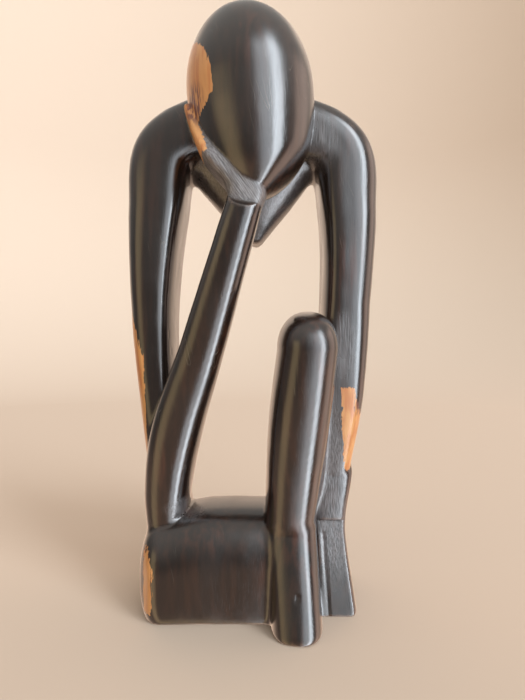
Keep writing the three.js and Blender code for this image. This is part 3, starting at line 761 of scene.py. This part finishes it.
def apex_behind(points, normals, border):
    """A point in the carving for a fan from the border to end in, or None if the fan would show."""
    rim = np.unique(border)
    apex = points[rim].mean(0) - CAP_DEPTH * normals[rim].mean(0)
    fan = np.concatenate([points[rim] + share * (apex - points[rim]) for share in CAP_SHARES])
    return apex if (skin_distance(fan) < -CAP_CLEARANCE).all() else None


def close_with_fans(shown, borders):
    """Faces that join each border to a point of its own, numbered after the shown ones."""
    first = shown.max() + 1
    return [(b, a, first + i) for i, border in enumerate(borders) for a, b in border.tolist()]


def close_with_shell(shown, borders):
    """Faces of a second skin, numbered after the shown one, and of the rims between the two."""
    count = shown.max() + 1
    rims = [(b, a, a + count, b + count) for border in borders for a, b in border.tolist()]
    return (shown[:, ::-1] + count).tolist() + rims


def link(name, data):
    """A new object in the scene."""
    thing = bpy.data.objects.new(name, data)
    bpy.context.scene.collection.objects.link(thing)
    return thing


def make_piece(name, skin, chosen):
    """A closed piece of the skin, solid where that can be done out of sight, else a thin shell."""
    drawn, carved, faces, normals, attributes = skin
    used, renumbered = np.unique(faces[chosen], return_inverse=True)
    shown = renumbered.reshape(-1, 4)
    borders = border_groups(shown)
    points, ways = carved[used], normals[used]
    values = {key: value[used] for key, value in attributes.items()}
    apexes = [apex_behind(drawn[used], ways, border) for border in borders]
    if any(apex is None for apex in apexes):
        polygons = shown.tolist() + close_with_shell(shown, borders)
        points = np.vstack([points, points - SHELL * ways])
        ways = np.vstack([ways, -ways])
        values = {key: np.tile(value, 2) for key, value in values.items()}
    else:
        polygons = shown.tolist() + close_with_fans(shown, borders)
        points = np.vstack([points, apexes + (points - drawn[used]).mean(0)])
        ways = np.vstack([ways, [(0, 0, -1)] * len(apexes)])
        values = {key: np.append(value, [0] * len(apexes)) for key, value in values.items()}
    mesh = bpy.data.meshes.new(name)
    mesh.from_pydata(points * MM, [], polygons)
    mesh.shade_smooth()
    for key, value in values.items():
        attribute = mesh.attributes.new(key, "FLOAT", "POINT")
        attribute.data.foreach_set("value", value.astype(np.float32))
    mesh.normals_split_custom_set_from_vertices(ways.tolist())
    return link(name, mesh)


def fit_box(vertices):
    """Centres the figure across the frame's box and keeps it inside that box."""
    low, high = (np.array(corner) / MM for corner in cad_box)
    fitted = vertices.copy()
    fitted[:, 0] -= (vertices[:, 0].min() + vertices[:, 0].max()) / 2
    return np.clip(fitted, low, high)


# Places left as the file cut them: their middle, their reach each way and how rough they are
FILED_SPOTS = (
    ((28.8, 0, 190), (9, 8, 14), 0.4),  # shoulder beside the head
    ((38.1, -3, 106.6), (6, 10, 16), 0.45),  # arm beside the knee
    ((33, 0, 42), (9, 12, 48), 0.6),  # left wrist and hand
    ((-25, -10, 42.5), (10, 8, 5), 0.5),  # under the elbow
)
FILED_MEMBERS = {"right_hand": 1.0, "chest": 0.45}


def filed_share(p, nodes):
    """How roughly each point was left by the file, from 0 to 1."""
    share = np.zeros(len(p))
    for name, amount in FILED_MEMBERS.items():
        share[nodes == name] = amount
    return np.maximum(share, near_spots(p, FILED_SPOTS))


def bend_of(vertices, edges, normals, rounds=2):
    """How sharply the skin bends, per millimetre: positive on edges, negative in creases."""
    bulge = ((vertices - neighbour_mean(vertices, edges)) * normals).sum(1)
    bend = bulge[:, None] * 4 / VOXEL**2
    for _ in range(rounds):
        bend = neighbour_mean(bend, edges)
    return bend[:, 0]


# Small damage: the line that it follows, its reach on both sides and its depth
NICKS = (
    ((30.1, 0.6, 28.9), (31.1, -10.6, 0.5), 0.9, 0.5),  # crack along the left fingers
    ((10.8, -19, 34.4), (13, -19.6, 34.8), 1.3, 0.5),  # chip at the ankle
    ((17.2, -27.8, 13.6), (17.6, -27.6, 15.6), 1.2, 0.5),  # ding on the instep
    ((-34.9, 1.2, 112.6), (-34.9, 1.2, 110), 1.3, 0.5),  # gouges in the right arm
    ((-34, 3.4, 105.4), (-34, 3.4, 103), 1.2, 0.4),
)


def nick_depth(p):
    """How deep the small damage goes at each point."""
    depth = np.zeros(len(p))
    for start, end, reach, deepest in NICKS:
        run = np.subtract(end, start)
        share = np.clip((p - start) @ run / (run @ run), 0, 1)
        gap = np.linalg.norm(p - start - share[:, None] * run, axis=1)
        depth = np.maximum(depth, deepest * np.clip(1 - gap / reach, 0, 1))
    return depth


WAVES = ((0.12, 18), (0.05, 7))  # height and length of the waves that a knife leaves
CHATTER_HEIGHT, CHATTER_LENGTH = 0.1, 2.2  # of the marks of the file
EVEN_HEIGHT = 3.0  # above the ground, over which the unevenness sets in


def hand_carved(vertices, normals, filed):
    """The unevenness that hand tools leave, none where the figure stands."""
    wave = sum(height * noise_at(vertices, length) for height, length in WAVES)
    chatter = CHATTER_HEIGHT * filed * noise_at(vertices, CHATTER_LENGTH, stretch=2)
    lifted = np.clip(vertices[:, 2] / EVEN_HEIGHT, 0, 1)
    return vertices + normals * ((wave + chatter) * lifted - nick_depth(vertices))[:, None]


class NodeTree:
    """Adds nodes to a tree and hands out what they give."""

    def __init__(self, tree):
        self.tree = tree

    def add(self, kind, inputs, output=0, **settings):
        """A new node's output. Inputs are other outputs or plain values."""
        node = self.tree.nodes.new(kind)
        for key, value in settings.items():
            setattr(node, key, value)
        for key, value in inputs.items():
            if isinstance(value, bpy.types.NodeSocket):
                self.tree.links.new(value, node.inputs[key])
            else:
                node.inputs[key].default_value = value
        return node.outputs[output]

    def ramp(self, value, low, high, start=0.0, end=1.0):
        """Rises smoothly from start to end while the value goes from low to high."""
        span = {"Value": value, "From Min": low, "From Max": high, "To Min": start, "To Max": end}
        return self.add("ShaderNodeMapRange", span, interpolation_type="SMOOTHSTEP")

    def times(self, one, other):
        """The product of two values."""
        return self.add("ShaderNodeMath", {0: one, 1: other}, operation="MULTIPLY")


class Wood(NodeTree):
    """The nodes of a wood material, with lengths in millimetres."""

    BLACK = (0.011, 0.0062, 0.0047, 1)
    BROWN = (0.026, 0.0115, 0.007, 1)
    RED = (0.075, 0.024, 0.013, 1)
    FILED = (0.18, 0.168, 0.17, 1)
    RUBBED = (0.1, 0.055, 0.034, 1)
    SCRATCH = (0.2, 0.17, 0.14, 1)
    GOLD = (0.58, 0.27, 0.082, 1)
    AMBER = (0.46, 0.155, 0.035, 1)
    # Dark red of streaks in the sapwood, used partly as painted shade on the left arm's outer edge.
    STAIN_AND_SHADE = (0.11, 0.02, 0.01, 1)

    # Size of the blotches along each axis
    STREAKS = (2.2, 2.2, 30)
    ZONES = (16, 16, 50)
    PORES = (0.42, 0.42, 5.5)
    FILE_MARKS = (0.55, 0.55, 7)
    BORDER = (0.7, 0.7, 4)
    STAIN_AND_SHADE_LINES = (0.9, 0.9, 9)
    SCRATCHES = (3, 3, 240)
    SCRATCHED_PLACES = (9, 9, 14)
    WEAR = (11, 11, 24)

    PORE_DEPTH = 0.06
    MARK_DEPTH = 0.4
    SCRATCH_SLANT = math.radians(14)
    SCRATCH_SHARE = 0.35
    POLISHED, WORN = 0.17, 0.27  # roughness
    FILED_ROUGHNESS = 0.2  # added where the file has left its marks
    PALE_ROUGHNESS = 0.12  # added in the sapwood

    def __init__(self, name, marks_turn=0.0):
        self.material = bpy.data.materials.new(name)
        self.material.use_nodes = True
        super().__init__(self.material.node_tree)
        metres = self.add("ShaderNodeTexCoord", {}, "Object")
        self.place = self.add("ShaderNodeVectorMath", {0: metres, "Scale": 1 / MM}, operation="SCALE")
        self.filed = self.attribute("filed")
        self.bend = self.attribute("bend")
        self.streak = self.noise(self.STREAKS, detail=6)
        self.pores = self.noise(self.PORES, detail=2)
        turned = {"Vector": self.place, "Axis": (0, 1, 0), "Angle": marks_turn}
        along_marks = self.add("ShaderNodeVectorRotate", turned)
        self.marks = self.noise(self.FILE_MARKS, detail=3, place=along_marks)
        self.pale = self.pale_share()
        self.connect()

    def attribute(self, name):
        """A value that the mesh carries at each point."""
        return self.add("ShaderNodeAttribute", {}, "Fac", attribute_name=name)

    def noise(self, size, detail, place=None):
        """Noise from 0 to 1 whose blotches have a size along each axis."""
        scale = tuple(1 / length for length in size)
        stretch = {0: place or self.place, 1: scale}
        scaled = self.add("ShaderNodeVectorMath", stretch, operation="MULTIPLY")
        return self.add("ShaderNodeTexNoise", {"Vector": scaled, "Scale": 1.0, "Detail": detail}, "Fac")

    def sum(self, *values):
        """The sum of some values."""
        total = values[0]
        for value in values[1:]:
            total = self.add("ShaderNodeMath", {0: total, 1: value}, operation="ADD")
        return total

    def mix(self, share, one, other):
        """One colour going over into another as the share rises."""
        return self.add("ShaderNodeMix", {"Factor": share, 6: one, 7: other}, 2, data_type="RGBA")

    def pale_share(self):
        """1 in the sapwood and 0 in the heartwood, with a ragged border along the grain."""
        ragged = self.ramp(self.noise(self.BORDER, detail=3), 0.3, 0.7, -0.45, 0.45)
        return self.ramp(self.sum(self.attribute("sapwood"), ragged), -0.1, 0.2)

    def heartwood(self):
        """Black wood with brown streaks, red in places, greyer where filed and paler on rubbed edges."""
        zones = self.ramp(self.noise(self.ZONES, detail=2), 0.5, 0.72, 0.0, 0.65)
        veins = self.ramp(self.streak, 0.38, 0.74)
        colour = self.mix(veins, self.BLACK, self.BROWN)
        colour = self.mix(self.times(zones, veins), colour, self.RED)
        grey = self.times(self.filed, self.ramp(self.marks, 0.3, 0.65, 0.25, 0.95))
        colour = self.mix(grey, colour, self.FILED)
        on_edges = self.ramp(self.bend, 0.18, 0.6)
        rubbed = self.times(on_edges, self.ramp(self.streak, 0.35, 0.6, 0.2, 0.7))
        return self.mix(rubbed, colour, self.RUBBED)

    def sapwood(self):
        """Golden wood with amber streaks and dark stains, which on the left arm's outer edge are partly
        painted shade.
        """
        colour = self.mix(self.ramp(self.streak, 0.4, 0.68), self.GOLD, self.AMBER)
        lines = self.ramp(self.noise(self.STAIN_AND_SHADE_LINES, detail=4), 0.42, 0.56, 0.1, 1.0)
        # The dark streaks are real grain, and partly painted shade on the left arm's outer edge.
        return self.mix(self.times(self.attribute("stain_and_shade"), lines), colour, self.STAIN_AND_SHADE)

    def scratches(self):
        """Sparse thin lines, as handling leaves them."""
        tilted = {"Vector": self.place, "Axis": (0.3, 1, 0), "Angle": self.SCRATCH_SLANT}
        place = self.add("ShaderNodeVectorRotate", tilted)
        lines = self.noise(self.SCRATCHES, detail=0, place=place)
        from_line = self.add("ShaderNodeMath", {0: lines, 1: 0.5}, operation="SUBTRACT")
        width = self.add("ShaderNodeMath", {0: from_line}, operation="ABSOLUTE")
        where = self.ramp(self.noise(self.SCRATCHED_PLACES, detail=1), 0.6, 0.7)
        return self.times(self.ramp(width, 0.002, 0.008, 1.0, 0.0), where)

    def roughness(self):
        """A satin polish, worn in places and duller where filed and in the sapwood."""
        worn = self.ramp(self.noise(self.WEAR, detail=3), 0.3, 0.7, self.POLISHED, self.WORN)
        filed = self.times(self.filed, self.FILED_ROUGHNESS)
        return self.sum(worn, filed, self.times(self.pale, self.PALE_ROUGHNESS))

    def bumps(self):
        """Pores in the grain, and the marks of the file."""
        pits = self.ramp(self.pores, 0.3, 0.48)
        marks = self.times(self.marks, self.filed)
        grain = {"Height": pits, "Strength": 0.13, "Distance": self.PORE_DEPTH * MM}
        filed = {"Height": marks, "Strength": 0.5, "Distance": self.MARK_DEPTH * MM}
        return self.add("ShaderNodeBump", {**filed, "Normal": self.add("ShaderNodeBump", grain)})

    def connect(self):
        """Leads the colour, the roughness and the bumps to the shader."""
        shader = self.tree.nodes["Principled BSDF"]
        shader.inputs["Specular IOR Level"].default_value = 1.0
        scratched = self.times(self.scratches(), self.SCRATCH_SHARE)
        colour = self.mix(self.pale, self.heartwood(), self.sapwood())
        colour = self.mix(scratched, colour, self.SCRATCH)
        self.tree.links.new(colour, shader.inputs["Base Color"])
        self.tree.links.new(self.roughness(), shader.inputs["Roughness"])
        self.tree.links.new(self.bumps(), shader.inputs["Normal"])


def make_figure():
    """The whole carving, parted into one closed piece for each node."""
    vertices, faces, edges = carve()
    nodes = nodes_at(vertices)
    normals = vertex_normals(vertices, faces)
    filed = filed_share(vertices, nodes)
    attributes = {
        "sapwood": sapwood_depth(vertices, nodes),
        "filed": neighbour_mean(filed[:, None], edges)[:, 0],
        # Where the dark streaks lie: real grain, and painted shade on the left arm's outer edge.
        "stain_and_shade": near_spots(vertices, STAINS_AND_SHADE),
        "bend": bend_of(vertices, edges, normals),
    }
    labels = np.array([NODES.index(name) for name in nodes_at(vertices[faces].mean(1))])
    pale = attributes["sapwood"][faces].mean(1) > 0
    for wood in SAPWOODS:
        labels[pale & (labels == NODES.index(wood.hosts[0]))] = NODES.index(wood.node)
    labels = tidy_labels(labels, faces, faces_across(faces))
    carved = fit_box(hand_carved(vertices, normals, filed))
    skin = (vertices, carved, faces, vertex_normals(carved, faces), attributes)
    woods = {"ebony": Wood("ebony"), "sapwood": Wood("sapwood")}
    hand_wood = Wood("ebony_filed", marks_turn=HAND_SLANT)
    for number, name in enumerate(NODES):
        slot = "sapwood" if name.endswith("sapwood") else "ebony"
        wood = hand_wood if name == "right_hand" else woods[slot]
        piece = make_piece(name + "_carved", skin, labels == number)
        piece.data.materials.append(wood.material)
        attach(piece, "root")
        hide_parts(name)


PAPER = (0.58, 0.46, 0.36, 1)
PAPER_ROUGHNESS = 0.9
FLOOR_REACH = 4.0
WALL_START = 0.9  # distance from the figure at which the floor begins to rise
WALL_RADIUS = 0.8  # of the curve between the floor and the wall
WALL_HEIGHT = 3.0
WALL_STEPS, WALL_TURNS = 24, 96  # faces from the floor up to its top, and round it


def add_paper(name, points, faces):
    """Matt pale paper round the figure, not mirrored in it."""
    mesh = bpy.data.meshes.new(name)
    mesh.from_pydata(points, [], faces)
    mesh.shade_smooth()
    paper = bpy.data.materials.new(name)
    paper.use_nodes = True
    shader = paper.node_tree.nodes["Principled BSDF"]
    shader.inputs["Base Color"].default_value = PAPER
    shader.inputs["Roughness"].default_value = PAPER_ROUGHNESS
    mesh.materials.append(paper)
    sheet = link(name, mesh)
    sheet.visible_glossy = False
    return sheet


def add_floor():
    """A flat sheet under the figure."""
    corners = [(-1, -1), (1, -1), (1, 1), (-1, 1)]
    add_paper("floor", [(FLOOR_REACH * x, FLOOR_REACH * y, 0) for x, y in corners], [(0, 1, 2, 3)])


def add_backdrop():
    """A wall all round that rises from the floor in one curve and holds no light off the figure."""
    bend = np.linspace(0, math.pi / 2, WALL_STEPS)
    reaches = [*(WALL_START + WALL_RADIUS * np.sin(bend)), WALL_START + WALL_RADIUS]
    heights = [*(WALL_RADIUS * (1 - np.cos(bend))), WALL_HEIGHT]
    turns = np.linspace(0, 2 * math.pi, WALL_TURNS, endpoint=False)
    points = [(r * math.cos(t), r * math.sin(t), z) for r, z in zip(reaches, heights) for t in turns]
    ring = np.arange(WALL_TURNS)
    after = np.roll(ring, -1)
    strip = np.stack([ring, after, after + WALL_TURNS, ring + WALL_TURNS], 1)
    faces = np.concatenate([strip + step * WALL_TURNS for step in range(WALL_STEPS)])
    wall = add_paper("backdrop", points, faces.tolist())
    wall.visible_diffuse = False
    wall.visible_transmission = False
    wall.visible_shadow = False


SKY = (1, 0.96, 0.9, 1)
SKY_LOW, SKY_HIGH = 0.15, 0.75  # brightness at the bottom and at the top
GROUND = (1, 0.6, 0.4, 1)
GROUND_GLOW = 0.35
GLOW_FADE = math.radians(16)  # height over which a glow fades out at its top

# Glows round the figure: turn from straight in front of it towards its left, half of the width, width
# of the soft edge and top, all in degrees, then brightness and colour
Glow = namedtuple("Glow", "turn half_width edge top radiance colour")
GLOWS = (
    Glow(47, 7, 6, 48, 8.5, (0.84, 0.92, 1.0)),  # window
    Glow(27, 8, 16, 44, 3.0, (0.86, 0.93, 1.0)),  # wall beside it
    Glow(-52, 2, 24, 14, 1.1, (1.0, 0.74, 0.38)),  # lamp
    Glow(102, 10, 14, 30, 1.5, (1.0, 0.72, 0.6)),  # warm wall
    Glow(180, 30, 35, 40, 0.9, (1.0, 0.7, 0.5)),  # wall behind
)


def add_sky():
    """Soft light from all round, growing towards the top, with the glows in it."""
    world = bpy.data.worlds.new("studio")
    world.use_nodes = True
    sky = NodeTree(world.node_tree)

    def light(colour, strength):
        return sky.add("ShaderNodeBackground", {"Color": colour, "Strength": strength})

    way = sky.add("ShaderNodeTexCoord", {}, "Generated")
    height = sky.add("ShaderNodeSeparateXYZ", {"Vector": way}, "Z")
    level = sky.add("ShaderNodeVectorMath", {0: way, 1: (1, 1, 0)}, operation="MULTIPLY")
    level = sky.add("ShaderNodeVectorMath", {0: level}, operation="NORMALIZE")
    total = light(SKY, sky.ramp(height, -0.2, 1, SKY_LOW, SKY_HIGH))
    ground = light(GROUND, sky.ramp(height, -0.35, 0, GROUND_GLOW, 0))
    total = sky.add("ShaderNodeAddShader", {0: total, 1: ground})
    for glow in GLOWS:
        angles = (glow.turn, glow.half_width, glow.edge, glow.top)
        turn, half, edge, top = (math.radians(angle) for angle in angles)
        ahead = (math.sin(turn), -math.cos(turn), 0)
        near = sky.add("ShaderNodeVectorMath", {0: level, 1: ahead}, "Value", operation="DOT_PRODUCT")
        share = sky.ramp(near, math.cos(half + edge), math.cos(half), 0, glow.radiance)
        below = sky.ramp(height, math.sin(top), math.sin(top + GLOW_FADE), 1, 0)
        shine = light((*glow.colour, 1), sky.times(share, below))
        total = sky.add("ShaderNodeAddShader", {0: total, 1: shine})
    world.node_tree.links.new(total, world.node_tree.nodes["World Output"].inputs["Surface"])
    bpy.context.scene.world = world


CAMERA_PLACE = (0.00417, -0.218, 0.105)
FOCAL_LENGTH = 27.05  # millimetres


def add_camera():
    """A viewpoint close in front of the figure, a little below its middle."""
    lens = bpy.data.cameras.new("camera")
    lens.lens = FOCAL_LENGTH
    camera = link("camera", lens)
    camera.location = CAMERA_PLACE
    camera.rotation_euler = (math.pi / 2, 0, 0)
    bpy.context.scene.camera = camera


make_figure()
add_floor()
add_backdrop()
add_sky()
add_camera()
bpy.context.scene.view_settings.view_transform = "Standard"
